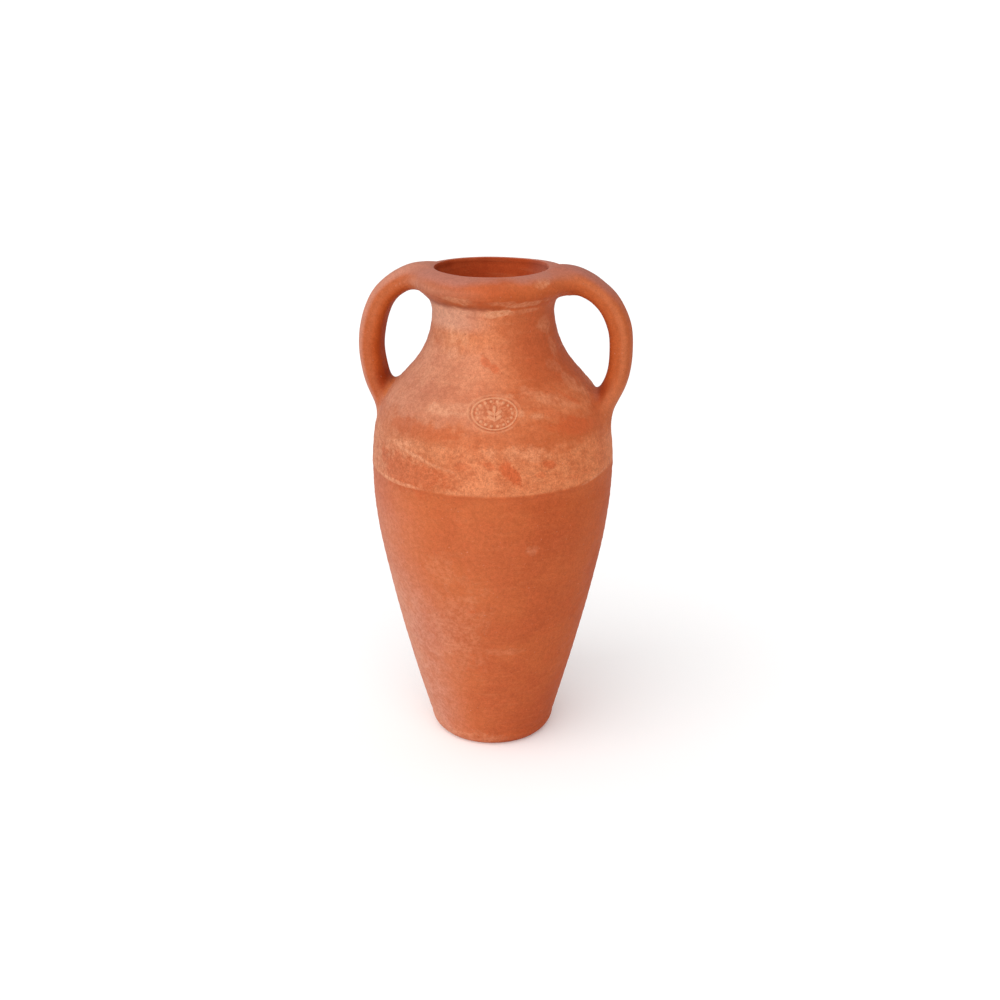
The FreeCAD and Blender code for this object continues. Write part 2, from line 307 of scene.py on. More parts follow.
def smooth_line(points, per_span):
    """A smooth curve through given points."""
    before = 2 * np.array(points[0]) - points[1]
    after = 2 * np.array(points[-1]) - points[-2]
    p = np.array([before, *points, after], float)
    t = np.linspace(0, 1, per_span, endpoint=False)[:, None]
    spans = []
    for a, b, c, d in zip(p, p[1:], p[2:], p[3:]):
        square = (2 * a - 5 * b + 4 * c - d) * t**2
        cube = (3 * b - a - 3 * c + d) * t**3
        spans.append(0.5 * (2 * b + (c - a) * t + square + cube))
    return np.concatenate([*spans, [p[-2]]])


def outer_rows(heights, angles, proud=0.0):
    """Points of the uneven outer skin, one row for each height."""
    angle, height = np.meshgrid(angles, heights)
    base = outer.radius(height) + fold_flare(height)
    lift = unevenness(angle, height, base) + seam_ridge(height, proud) + stamp_depth(angle, height)[0]
    lean = np.hypot(1, outer.slope(height))
    return on_circle(angle, base + lift / lean, height - lift * outer.slope(height) / lean)


def inner_rows(heights, angles):
    """Points of the inner skin, which keeps the finger rings of the throwing."""
    angle, height = np.meshgrid(angles, heights)
    rings = 0.5 * np.sin(height * TURN / 14 + 0.6 * np.sin(angle))
    calm = np.clip((height - FOOT_IN) / 10, 0, 1) * np.clip((COLLAR - height) / 10, 0, 1)
    return on_circle(angle, inner.radius(height) + rings * calm, height)


def turned_piece(name, rows, materials, inside_from=None):
    """A closed turned solid from rows of points that run once round its outline."""
    count, columns = rows.shape[:2]
    index = None
    if inside_from is not None:
        index = [1 if i // columns >= inside_from else 0 for i in range(count * columns)]
    return make_object(name, rows.reshape(-1, 3), grid_faces(count, columns), materials, index)


# ---- the vessel's pieces

WALL_COLUMNS = 360
STAMP_COLUMNS = (280, 150)  # round the rest of the shoulder, and across the stamp
WALL_STEP, UPPER_STEP, NECK_STEP = 2.4, 1.6, 1.8  # between levels of the outside
STAMP_STEP = 0.36
LINING_STEP, NECK_LINING_STEP = 5, 4
SLAB_EDGE = 1.2  # rounding of the drain hole's edges


def wall_piece(name, outside, inside, angles, materials, proud=0.0):
    """A length of the wall: up its outside, over the joint, down its inside."""
    skin = outer_rows(outside, angles, proud)
    lining = inner_rows(inside, angles)
    piece = turned_piece(name, np.concatenate([skin, lining]), materials, inside_from=len(skin))
    unmarked = np.zeros(lining[..., 0].size)
    relief, raised = stamp_depth(*np.meshgrid(angles, outside))
    mark_points(piece, "relief", np.concatenate([relief.ravel(), unmarked]))
    mark_points(piece, "raised", np.concatenate([raised.ravel(), unmarked]))
    return piece


def slab_sizes():
    """What the CAD slab says: radii of the drain hole and the flat, and the floor's level and radius."""
    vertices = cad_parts["base_slab"].data.vertices
    points = [(math.hypot(v.co.x, v.co.y) / MM, v.co.z / MM) for v in vertices]
    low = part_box("base_slab")[0].z / MM
    standing = [r for r, z in points if z < low + 0.01]
    drain, flat = min(standing), max(standing)
    thick = max(z for r, z in points if r < drain + 0.1)
    dish = max(r for r, z in points if abs(z - thick) < 0.01)
    return drain, flat, thick, dish


def slab_outline():
    """Radius and height along the underside, the rounded heel, and the dished floor inside."""
    drain, flat, thick, dish = slab_sizes()
    under = [(drain, SLAB_EDGE), (drain + 0.3 * SLAB_EDGE, 0.35), (drain + SLAB_EDGE, 0)]
    under += [(r, 0.0) for r in spread(drain + 6, flat - 1.5, 6)]
    under.append((flat, 0.05))
    heel = [(float(outer.radius(z)), float(z)) for z in spread(1.0, FOOT_OUT, 0.9)]
    heel[0] = (heel[0][0] - 0.3, 0.6)
    edge = float(inner.radius(FOOT_IN + 0.5)) - 0.6
    inside = [(edge, FOOT_IN)]
    for t in np.linspace(0.3, math.pi / 2, 5):
        inside.append((edge + (dish - edge) * math.sin(t), thick + (FOOT_IN - thick) * (1 - math.sin(t))))
    inside += [(r, thick) for r in spread(dish - 8, drain + SLAB_EDGE, 8)]
    inside += [(drain + 0.3 * SLAB_EDGE, thick - 0.35), (drain, thick - SLAB_EDGE)]
    return under, heel, inside


def base_slab(materials):
    """The slab: a level underside, the slightly uneven heel, and the dished floor inside."""
    under, heel, inside = slab_outline()
    outline = np.array(under + heel + inside)
    angles = even_angles(WALL_COLUMNS)
    angle, radius = np.meshgrid(angles, outline[:, 0])
    height = np.repeat(outline[:, 1][:, None], len(angles), 1)
    last_heel = len(under) + len(heel)
    for i in range(len(under), last_heel):
        radius[i] += unevenness(angles, height[i], radius[i])
    return turned_piece("foot_slab", on_circle(angle, radius, height), materials, inside_from=last_heel)


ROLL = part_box("rim")[1].x / MM
THROAT = float(inner.radius(COLLAR - 0.5))
NECK_R = float(outer.radius(COLLAR - 0.5) + fold_flare(COLLAR))

# the rim from the neck up its rolled outside, over the lip and down into the throat
RIM_OUTSIDE = [
    (NECK_R, COLLAR), (NECK_R + 1.4, COLLAR + 2.4), (NECK_R + 4.4, COLLAR + 5.4),
    (ROLL - 6.6, COLLAR + 8.9), (ROLL - 2.3, COLLAR + 12.6), (ROLL - 0.2, COLLAR + 17.6),
    (ROLL - 0.9, COLLAR + 22.6), (ROLL - 3.2, TOP - 5.4), (ROLL - 6.6, TOP - 3.1),
    (ROLL - 10.6, TOP - 1.8), (ROLL - 14.8, TOP - 0.9), (ROLL - 18.4, TOP - 0.2),
]
RIM_INSIDE = [
    (ROLL - 20.1, TOP - 0.7), (ROLL - 20.9, TOP - 3.0), (ROLL - 21.2, TOP - 7.5),
    (THROAT + 3.4, COLLAR + 12.5), (THROAT + 1.0, COLLAR + 5.5), (THROAT, COLLAR),
]
RIM_SPLIT = 7  # samples of the curve between two of those points
RIM_COLUMNS = 400


def rim_point(angle, radius, height):
    """A point of the rim's outline, made as uneven as a finger-rolled rim is."""
    points = on_circle(angle, radius, height)
    share = np.clip((height - COLLAR) / 8, 0, 1)
    wave = 0.45 * np.cos(2 * angle + 0.8 + height / 170) + 0.35 * lump(points, 45, 5)
    wave += 0.14 * lump(points, 12, 6)
    neck = unevenness(angle, np.minimum(height, COLLAR), radius)
    pinch = np.clip((ROLL - 15 - radius) / 3, 0, 1) * np.clip(np.sin(angle), 0, 1) ** 2
    shift = (1 - share) * neck + share * wave - 2.3 * share * pinch
    behind = np.clip(-np.cos(angle), 0, 1) * (1.3 + np.sin(angle))
    tilt = 0.75 * np.cos(angle - FRONT) + np.sin(angle) ** 2 * (0.7 + behind) - 0.2
    sag = share * (tilt + 0.2 * lump(points * [1, 1, 0], 26, 7))
    return on_circle(angle, radius + shift, height + sag)


def rim_piece(materials):
    """The rolled rim, from the neck over the lip to the throat."""
    curve = smooth_line(RIM_OUTSIDE + RIM_INSIDE, RIM_SPLIT)
    angle, radius = np.meshgrid(even_angles(RIM_COLUMNS), curve[:, 0])
    height = np.repeat(curve[:, 1][:, None], RIM_COLUMNS, 1)
    outside = len(RIM_OUTSIDE) * RIM_SPLIT
    return turned_piece("rolled_rim", rim_point(angle, radius, height), materials, inside_from=outside)


COIL_COLUMNS = 240
COIL_ROWS = 12


def coil_piece(name, node, material):
    """A coil pressed along an inside seam: a flattened ring with a thumb mark every few centimetres."""
    low, high = (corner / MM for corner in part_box(node))
    reach, middle, half = high.x, (low.z + high.z) / 2, (high.z - low.z) / 2
    angles = even_angles(COIL_COLUMNS)
    rows = []
    for turn in even_angles(COIL_ROWS):
        thumbed = 1 + 0.16 * np.sin(angles * round(reach / 5)) * max(0.0, -math.cos(turn))
        radius = reach - half * 0.55 + half * 0.9 * math.cos(turn) * thumbed
        rows.append(on_circle(angles, radius, middle + half * 0.97 * math.sin(turn)))
    return turned_piece(name, np.array(rows), [material])


# ---- the handles

# Each strap's centreline in the plane of the handles, as distance from the axis and height, and its half
# thickness and half width at STRAP_SHARES of its length.  For the clay at each root: how far back up
# the strap it starts and how far on to the vessel it reaches, at the outer face, sides and inner face.
STRAP_SHARES = (0.04, 0.13, 0.19, 0.26, 0.5, 0.9)
LEFT_HANDLE = {
    "side": -1,
    "line": [
        (52, 483), (71, 489.3), (94.5, 481.8), (114.5, 461.5), (125, 424), (121, 386.5), (106, 352),
        (95, 333),
    ],
    "thick": (13.2, 12.6, 11.7, 11.4, 12.5, 12.0),
    "wide": (17.0, 16.4, 16.0, 15.8, 15.8, 17.5),
    "head": {"back": (20, 22, 17), "reach": (6, 24, 14)},
    "foot": {"back": (17, 11, 15), "reach": (12, 13, 14)},
}
RIGHT_HANDLE = {
    "side": 1,
    "line": [
        (52, 480.5), (69, 488.7), (91, 486.2), (113.2, 470.3), (125.7, 447), (128.6, 422.5),
        (126, 395.5), (116, 372), (94.5, 333),
    ],
    "thick": (13.6, 14.1, 12.1, 11.0, 11.5, 11.4),
    "wide": (19.0, 17.2, 16.6, 16.2, 15.8, 17.5),
    "head": {"back": (20, 22, 5), "reach": (6, 24, 4)},
    "foot": {"back": (19, 11, 13), "reach": (20, 13, 14)},
}
STRAP_COLUMNS = 80
STRAP_STATIONS = 260  # along the whole centreline, before the roots are cut
STRAP_ROWS = 120  # along the strap between its roots
STRAP_CORNER = 2.7  # power of the section: 2 is an oval, more is squarer
BLEND_ROWS = 12
HEAD_STATION, FOOT_STATION = 10, -25  # stations inside the vessel's skin, one near each end
SINK = 0.12  # how deep the blend's visible end lies in the vessel
TUCK = 3.0  # how deep its hidden last row lies


def section(turn):
    """A soft-cornered section: how far out and how far across, from -1 to 1."""
    c, s = np.cos(turn), np.sin(turn)
    size = (np.abs(c) ** STRAP_CORNER + np.abs(s) ** STRAP_CORNER) ** (-1 / STRAP_CORNER)
    return c * size, s * size


def centre_line(points):
    """A handle's centreline at even steps, smoothed, and its length."""
    dense = smooth_line(points, 24)
    run = run_along(dense)
    stations = np.linspace(0, run[-1], STRAP_STATIONS)
    centre = np.stack([np.interp(stations, run, dense[:, k]) for k in (0, 1)], 1)
    for _ in range(12):
        centre[1:-1] = (centre[:-2] + 2 * centre[1:-1] + centre[2:]) / 4
    return centre, run[-1]


def strap_grid(shape, turn):
    """The pulled strap as a grid of points, stations along it by turns round it."""
    centre, length = centre_line(shape["line"])
    side = shape["side"]
    along = np.gradient(centre, axis=0)
    along /= np.linalg.norm(along, axis=1)[:, None]
    out = np.stack([-along[:, 1], along[:, 0]], 1)
    share = np.linspace(0, 1, STRAP_STATIONS)
    span = share[:, None] * length
    pulled = 0.22 * np.sin(turn * 3 + 0.7 + span / 60) + 0.14 * np.sin(turn * 5 - 1 - span / 45)
    press = 0.45 * np.sin(span / 31 + side) + 0.3 * np.sin(span / 17 + 2 * side)
    thick = np.interp(share, STRAP_SHARES, shape["thick"])[:, None] + 0.5 * press + pulled
    wide = np.interp(share, STRAP_SHARES, shape["wide"])[:, None] - 0.6 * press + pulled
    outward, across = section(turn)
    x = centre[:, :1] + out[:, :1] * thick * outward
    z = centre[:, 1:] + out[:, 1:] * thick * outward
    grid = np.stack([side * x, -wide * across + 0 * x, z], -1)
    return grid + 0.3 * lump(grid, 24, 11 + side)[..., None] * np.array([0.6, 1, 0.4])


def first_hit(skin, line):
    """Where a line of points first meets the vessel: the place, its distance along the line, the normal."""
    travelled = 0.0
    for a, b in zip(line, line[1:]):
        step = Vector(b - a)
        hit = skin.ray_cast(Vector(a), step.normalized(), step.length)
        if hit[0] is not None:
            return np.array(hit[0]), travelled + hit[3], np.array(hit[1])
        travelled += step.length
    raise ValueError("the strap does not reach the vessel")


def point_at(line, distance):
    """The point at a distance along a line of points, and the line's direction there."""
    run = run_along(line)
    here, ahead = (
        np.array([np.interp(d, run, line[:, k]) for k in range(3)]) for d in (distance, distance + 1.0))
    return here, (ahead - here) / np.linalg.norm(ahead - here)


def in_plane(vector, normal):
    """The part of a vector that lies along a surface with the given normal."""
    return vector - normal * np.dot(vector, normal)


def nearest_wall(skin, point):
    """The nearest place on the vessel and the way out of the wall there."""
    spot, normal = (np.array(v) for v in skin.find_nearest(Vector(point))[:2])
    if abs(normal[2]) > 0.99:  # the level face of the joint under the rim was nearest
        normal = spot * [1, 1, 0] / math.hypot(spot[0], spot[1])
    return spot, normal


def round_strap(turn, faces):
    """A value that changes smoothly round the strap, from its values at outer face, sides, inner face."""
    outer_face, side_face, inner_face = faces
    c = np.cos(turn)
    return side_face + (outer_face - side_face) * max(0, c)**2 + (inner_face - side_face) * max(0, -c)**2


def root_blend(skin, line, turn, root, away):
    """One column of the clay wiped from the strap on to the vessel, a curve tangent to both.

    Gives its rows from the strap to the wall, where it starts along the line, and the hidden last row.
    """
    back, reach = round_strap(turn, root["back"]), round_strap(turn, root["reach"])
    corner, distance, normal = first_hit(skin, line)
    start, heading = point_at(line, distance - back)
    slide = in_plane(away, normal)
    slide /= np.linalg.norm(slide) + 1e-9
    end, wall_normal = nearest_wall(skin, corner + slide * reach)
    inward = in_plane(corner - end, wall_normal)
    inward *= 2 / 3 * np.linalg.norm(corner - end) / (np.linalg.norm(inward) + 1e-9)
    a, b, c, d = start, start + heading * back * 2 / 3, end + inward, end - wall_normal * SINK
    t = np.linspace(0, 1, BLEND_ROWS)[:, None]
    rows = a * (1 - t)**3 + 3 * b * t * (1 - t)**2 + 3 * c * t**2 * (1 - t) + d * t**3
    return rows, distance - back, end - wall_normal * TUCK


def handle_column(skin, strap, centres, turn, shape):
    """One column of a handle's skin: hidden row, head, strap, foot and hidden row."""
    middle = len(strap) // 2
    head_away = strap[HEAD_STATION] - centres[HEAD_STATION]
    foot_away = strap[FOOT_STATION] - centres[FOOT_STATION]
    head, head_run, head_hid = root_blend(skin, strap[middle::-1], turn, shape["head"], head_away)
    foot, foot_run, foot_hid = root_blend(skin, strap[middle:], turn, shape["foot"], foot_away)
    lengths = run_along(strap)
    marks = np.linspace(lengths[middle] - head_run, lengths[middle] + foot_run, STRAP_ROWS)[1:-1]
    between = np.stack([np.interp(marks, lengths, strap[:, j]) for j in range(3)], 1)
    return np.concatenate([[head_hid], head[::-1], between, foot, [foot_hid]])


def strap_share(count):
    """How much each row belongs to the strap: nothing at the vessel, all of it past the roots' clay."""
    share = np.zeros(count)
    share[1:BLEND_ROWS + 1] = np.linspace(0, 1, BLEND_ROWS)
    share[BLEND_ROWS + 1:count - BLEND_ROWS - 1] = 1
    share[count - BLEND_ROWS - 1:count - 1] = np.linspace(1, 0, BLEND_ROWS)
    return share


def handle_piece(name, shape, skin, material):
    """A strap and the clay wiped round both its roots, as one closed skin."""
    turns = even_angles(STRAP_COLUMNS)
    grid = strap_grid(shape, turns)
    centres = grid.mean(axis=1)
    columns = [handle_column(skin, grid[:, k], centres, turn, shape) for k, turn in enumerate(turns)]
    rows = np.array(columns).transpose(1, 0, 2)
    count = len(rows)
    hub = count * STRAP_COLUMNS
    mirrored = shape["side"] < 0
    faces = grid_faces(count, STRAP_COLUMNS, closed=False, flip=mirrored)
    faces += fan_faces(hub, 0, STRAP_COLUMNS, not mirrored)
    faces += fan_faces(hub + 1, hub - STRAP_COLUMNS, STRAP_COLUMNS, mirrored)
    vertices = np.concatenate([rows.reshape(-1, 3), rows[[0, -1]].mean(axis=1)])
    piece = make_object(name, vertices, faces, [material])
    hubs = [0, 0]
    mark_points(piece, "strap", np.concatenate([np.repeat(strap_share(count), STRAP_COLUMNS), hubs]))
    mark_points(piece, "outward", np.concatenate([np.tile(np.cos(turns), count), hubs]))
    return piece


# ---- node helpers


class Graph:
    """A material's nodes, with short calls for the ones this scene uses."""

    def __init__(self, name):
        self.material = bpy.data.materials.new(name)
        self.material.use_nodes = True
        self.tree = self.material.node_tree
        self.shader = self.tree.nodes["Principled BSDF"]
        texture = self.node("ShaderNodeTexCoord")
        self.place = self.vector("SCALE", texture.outputs["Object"], scale=1 / MM)
        self.x, self.y, self.z = self.node("ShaderNodeSeparateXYZ", self.place).outputs

    def node(self, kind, *values, **settings):
        """A new node, its first inputs given in order and its settings by name."""
        made = self.tree.nodes.new(kind)
        for key, value in settings.items():
            setattr(made, key, value)
        for socket, value in zip(made.inputs, values):
            self.put(socket, value)
        return made

    def put(self, socket, value):
        """Links another node's output to an input, or sets the input to a plain value."""
        if isinstance(value, bpy.types.NodeSocket):
            self.tree.links.new(value, socket)
        elif value is not None:
            socket.default_value = value

    def maths(self, operation, *values, clamp=False):
        return self.node("ShaderNodeMath", *values, operation=operation, use_clamp=clamp).outputs[0]

    def times(self, *values, clamp=False):
        """The product of two or more values, held between 0 and 1 at the end if clamp is set."""
        total = values[0]
        for value in values[1:-1]:
            total = self.maths("MULTIPLY", total, value)
        return self.maths("MULTIPLY", total, values[-1], clamp=clamp)

    def scaled(self, value, factor, base):
        """The value times the factor, added to the base."""
        return self.maths("MULTIPLY_ADD", value, factor, base)

    def vector(self, operation, *values, scale=None):
        made = self.node("ShaderNodeVectorMath", *values, operation=operation)
        if scale is not None:
            made.inputs["Scale"].default_value = scale
        return made.outputs["Value" if operation in ("LENGTH", "DOT_PRODUCT") else "Vector"]

    def ramp(self, value, low, high, bottom=0.0, top=1.0):
        """A smooth step: bottom at low, top at high."""
        return self.node("ShaderNodeMapRange", value, low, high, bottom, top,
                         interpolation_type="SMOOTHSTEP").outputs[0]

    def noise(self, size, detail, rough, at=None, warp=0.0):
        """Noise from 0 to 1 whose features are about size millimetres across."""
        made = self.node("ShaderNodeTexNoise")
        self.put(made.inputs["Vector"], at or self.place)
        made.inputs["Scale"].default_value = 1 / size
        made.inputs["Detail"].default_value = detail
        made.inputs["Roughness"].default_value = rough
        made.inputs["Distortion"].default_value = warp
        return made.outputs["Fac"]

    def stretched(self, across):
        """The place with everything drawn out round the pot, for streaks."""
        made = self.node("ShaderNodeMapping", self.place)
        made.inputs["Scale"].default_value = (across, across, 1.0)
        return made.outputs[0]

    def mark(self, name):
        """The number stored at the points of the mesh under a name."""
        return self.node("ShaderNodeAttribute", attribute_name=name).outputs["Fac"]

    def mix(self, factor, a, b, blend="MIX"):
        """Colour a where the factor is 0, and b (or a blended with b) where it is 1."""
        made = self.node("ShaderNodeMix", data_type="RGBA", blend_type=blend)
        for index, value in ((0, factor), (6, a), (7, b)):
            self.put(made.inputs[index], value)
        return made.outputs[2]

    def brightened(self, colour, value):
        """The colour multiplied by one number."""
        grey = self.node("ShaderNodeCombineXYZ", value, value, value).outputs[0]
        return self.vector("MULTIPLY", colour, grey)

    def finish(self, colour, bump, roughness, distance, gloss):
        """Joins everything to the shader, with a bump as deep as the distance in millimetres."""
        self.put(self.shader.inputs["Base Color"], colour)
        self.put(self.shader.inputs["Roughness"], roughness)
        self.shader.inputs["Specular IOR Level"].default_value = gloss
        made = self.node("ShaderNodeBump")
        made.inputs["Strength"].default_value = 1.0
        made.inputs["Distance"].default_value = distance * MM
        self.put(made.inputs["Height"], bump)
        self.tree.links.new(made.outputs[0], self.shader.inputs["Normal"])
        return self.material


def rgb(red, green, blue):
    return (red, green, blue, 1.0)


# ---- clay colours, and colours of painted sheen, highlight and shade, linear

ORANGE = rgb(0.49, 0.114, 0.034)
RUST = rgb(0.44, 0.088, 0.025)
RED = rgb(0.52, 0.1, 0.03)
PALE = rgb(0.61, 0.2, 0.085)
# pinkish painted sheen of the light from above
SHEEN_PINK = rgb(0.43, 0.155, 0.106)
CREAM = rgb(0.64, 0.27, 0.14)
# pale dust and grit, also the painted sheen on the left side
DUST_AND_SHEEN = rgb(0.64, 0.39, 0.3)
DARK = rgb(0.25, 0.055, 0.022)
STRAP_DARK = rgb(0.4, 0.078, 0.018)
STRAP_LIGHT = rgb(0.44, 0.098, 0.027)
# painted sheen of the light from above, for the tops of the straps
STRAP_TOP_SHEEN = rgb(0.365, 0.138, 0.103)
# painted sheen for the outer edge of the left strap, which faces the light
STRAP_EDGE_SHEEN = rgb(0.5, 0.2, 0.13)
# painted highlight for the ridge and the foot of the right strap
STRAP_RIDGE_HIGHLIGHT = rgb(0.5, 0.145, 0.058)
# The next four multiply the colour under them.
INNER_FACE_SHADE = rgb(1.0, 0.74, 0.38)  # painted shade on the side of each strap that faces the neck
CORNER_SHADE = rgb(0.72, 0.58, 0.56)  # painted shade in the corner where it meets the shoulder
DEEP_SHADE = rgb(0.88, 0.72, 0.5)  # painted shade on the right flank and on the right of the rim's roll
SHADE = rgb(0.82, 0.84, 0.86)  # painted shade on the left shoulder and neck
# The darker and the lighter clay of the lining and of the coils.
THROAT_CLAY = (rgb(0.35, 0.046, 0.011), rgb(0.41, 0.062, 0.016))
COIL_CLAY = (rgb(0.38, 0.085, 0.03), rgb(0.46, 0.12, 0.045))

# Patches seen on the front: angle from the front in degrees, height, half width and half height in
# millimetres, tilt in degrees, and strength.
RED_PATCHES = [
    (-43, 316, 44, 18, -4, 0.62), (8, 326.5, 7, 15, 32, 0.85), (-2, 334, 8, 3.5, -24, 0.5),
    (27, 331, 6, 4.5, -20, 0.7), (-5, 421, 9, 4, -22, 0.6), (2, 415, 8, 4, -10, 0.65),
    (36, 373, 24, 4, -20, 0.3), (50, 384, 16, 3, -30, 0.5), (12, 464, 5, 1.0, 12, 0.8),
    (8, 322, 5, 5, 0, 0.6), (-14, 332, 7, 4, 0, 0.4), (22, 322, 5, 3, 0, 0.4),
    (40, 314, 8, 3, -10, 0.3), (46, 361, 30, 8, -6, 0.75), (-40, 360, 46, 8, -2, 0.42),
]
PALE_PATCHES = [
    (-24, 379.5, 32, 5.5, 2, 0.62), (-40, 336, 36, 2.2, -14, 0.6), (-50, 343.5, 20, 3, 6, 0.5),
    (-50, 304, 34, 2.0, 0, 0.6), (35, 387, 36, 5, -16, 0.24), (1, 381, 27, 16, 0, 0.65),
    (-14, 466, 66, 3.0, 0, 0.45), (5, 466.3, 34, 3.5, 3, 0.7), (32, 468, 26, 2.0, 0, 0.3),
    (-38, 463, 26, 8, 0, 0.42), (8, 478, 26, 3, 0, 0.35), (26, 475, 34, 3.4, 2, 0.5),
    (-27, 479, 28, 3.8, -3, 0.55), (14, 343, 34, 7, -4, 0.28), (39, 494.5, 17, 4, 8, 0.5),
    (-34, 445, 24, 22, 12, 0.4), (55, 450, 20, 8, 0, 0.3), (61, 428, 12, 10, 30, 0.26),
    (60, 392, 12, 6, -30, 0.3), (53, 411, 14, 6, -12, 0.2), (60, 397, 15, 7, -20, 0.26),
    (66, 384, 12, 5, -20, 0.22), (-26, 220, 16, 24, 8, 0.15), (-20, 150, 34, 60, 0, 0.2),
    (19, 244, 6, 5, 0, 0.18), (15, 379, 7, 4, 0, 0.45), (24, 375, 8, 2.5, 0, 0.35),
    (57, 306.5, 22, 1.3, 8, 0.4), (-12, 172, 30, 5, 4, 0.14), (2, 127, 34, 5, -4, 0.14),
    # the last patch, on the heel, is painted light that lifts the heel out of the shade where it meets the
    # floor
    (-20, 8, 60, 9, 0, 0.3),
]


# ---- how the clay is worn, and where light and shade are painted on it

UNROLLED_AT = 115.0  # radius at which the skin is unrolled for the patches


def polar(g):
    """The skin unrolled: distance round from the front, at a fixed radius, and height."""
    turn = g.maths("ARCTAN2", g.x, g.times(g.y, -1.0))
    arc = g.times(g.maths("SUBTRACT", turn, FRONT), UNROLLED_AT)
    return g.node("ShaderNodeCombineXYZ", arc, g.z, 0.0).outputs[0]


def patches(g, unrolled, ragged, specs):
    """The strongest of several ragged, soft-edged patches at each point."""
    total = 0.0
    for angle, height, wide, high, tilt, strength in specs:
        mapped = g.node("ShaderNodeMapping", unrolled, vector_type="TEXTURE")
        mapped.inputs["Location"].default_value = (math.radians(angle) * UNROLLED_AT, height, 0)
        mapped.inputs["Rotation"].default_value = (0, 0, math.radians(tilt))
        mapped.inputs["Scale"].default_value = (wide, high, 1)
        level = g.maths("ADD", g.vector("LENGTH", mapped.outputs[0]), ragged)
        total = g.maths("MAXIMUM", g.ramp(level, 1.25, 0.6, 0.0, strength), total)
    return total


def facing(g, degrees):
    """The cosine of the angle round the pot from a direction, itself measured from the front."""
    a = FRONT + math.radians(degrees)
    flat = g.vector("MULTIPLY", g.place, (1, 1, 0))
    return g.vector("DOT_PRODUCT", g.vector("NORMALIZE", flat), (math.sin(a), -math.cos(a), 0))


def band(g, height, low, high, soft_low, soft_high):
    """One between two heights and zero outside, each edge with its own softness."""
    rise = g.ramp(height, low - soft_low, low + soft_low)
    fall = g.ramp(height, high + soft_high, high - soft_high)
    return g.times(rise, fall)


def strongest(g, *masks):
    """The greatest of several masks at each point."""
    total = masks[0]
    for mask in masks[1:]:
        total = g.maths("MAXIMUM", total, mask)
    return total


class Fields:
    """The noises, stored marks and wandering heights that the layers of the clay share."""

    def __init__(self, g):
        self.unrolled = polar(g)
        self.large = g.noise(75, 3, 0.6)
        self.medium = g.noise(16, 4, 0.62)
        self.small = g.noise(4.0, 3, 0.65)
        self.grain = g.noise(1.3, 2, 0.6)
        self.streak = g.noise(5.0, 4, 0.62, at=g.stretched(0.2), warp=0.5)
        self.strap = g.mark("strap")
        self.wall = g.maths("SUBTRACT", 1.0, self.strap, clamp=True)
        self.shift = g.maths("SUBTRACT", g.noise(13, 5, 0.68), 0.5)
        self.height = g.scaled(self.shift, 34.0, g.z)
        self.steady = g.scaled(self.shift, 3.0, g.z)
        self.uneven = g.ramp(g.scaled(self.streak, 0.5, self.medium), 0.50, 0.96, 0.42, 1.18)
        fine = g.times(g.maths("SUBTRACT", self.small, 0.5), 0.9)
        self.ragged = g.scaled(self.shift, 2.6, fine)


# ---- layers of the outside's clay

# Heights are in millimetres above the floor, and facing() takes degrees from the front, positive
# to the right.  Each function gives a mask, or the colour with its layer laid over it.


def clay_body(g, f):
    """The orange body with clouds of rust and red, and the deeper orange of the straps."""
    colour = g.mix(g.ramp(f.large, 0.35, 0.68), ORANGE, RUST)
    colour = g.mix(g.ramp(f.medium, 0.45, 0.75, 0, 0.35), colour, RED)
    colour = g.mix(g.ramp(f.streak, 0.50, 0.75, 0, 0.16), colour, PALE)
    return g.mix(f.strap, colour, g.mix(g.ramp(f.large, 0.3, 0.7), STRAP_DARK, STRAP_LIGHT))


def belly_band(g, f):
    """The pale band wiped above the belly seam, its top lower and its hem higher on the right."""
    top = g.maths("ADD", f.height, g.ramp(facing(g, 48), 0.78, 1.0, 0.0, 7.0))
    hem = g.maths("SUBTRACT", f.steady, g.ramp(facing(g, 74), 0.80, 1.0, 0.0, 3.2))
    return g.times(g.ramp(hem, SEAM + 0.8, SEAM + 4.0, 0, 0.85), g.ramp(top, 361, 343))


def wiped_bands(g, f, belly):
    """All the pale bands: the belly's, two on the left of the shoulder and one across it."""
    slope = g.times(band(g, f.height, 370, 393, 6, 8), 0.5)
    upper = g.times(band(g, f.height, 395, 470, 9, 5), g.ramp(facing(g, -36), 0.35, 0.95, 0, 0.8))
    middle = g.times(g.ramp(f.height, 345, 352, 0, 0.45), g.ramp(facing(g, -25), 0.5, 0.95))
    middle = g.times(middle, g.ramp(f.height, 380, 372))
    return g.times(strongest(g, belly, slope, upper, middle), f.uneven, f.wall, clamp=True)


def fold_shadow(g, f):
    """The dark line in the fold under the rim, on the left."""
    fold = band(g, g.scaled(f.shift, 4.0, g.z), COLLAR + 1.0, COLLAR + 6.0, 2.0, 3.0)
    return g.times(fold, f.wall, g.ramp(facing(g, -40), 0.5, 0.9, 0, 0.55))


def right_side_shade(g, f):
    """Painted shade, a darker and deeper orange: on the right flank, and on the roll of the rim on the
    right.
    """
    flank = g.times(g.ramp(facing(g, 75), 0, 0.95), g.ramp(g.z, 340, 400, 1.0, 0.0))
    flank = g.times(flank, g.ramp(g.z, 285, 305, 1.0, 0.45))
    roll = g.times(band(g, g.z, COLLAR + 3, TOP - 9, 3, 5), g.ramp(facing(g, 45), 0.55, 0.9, 0, 0.75))
    return g.maths("MAXIMUM", flank, g.times(roll, f.wall))


def left_shade(g, f):
    """Painted shade that dulls the clay of the left shoulder and neck."""
    return g.times(g.ramp(facing(g, -70), 0.4, 1.0), g.ramp(g.z, 285, 315), f.wall)


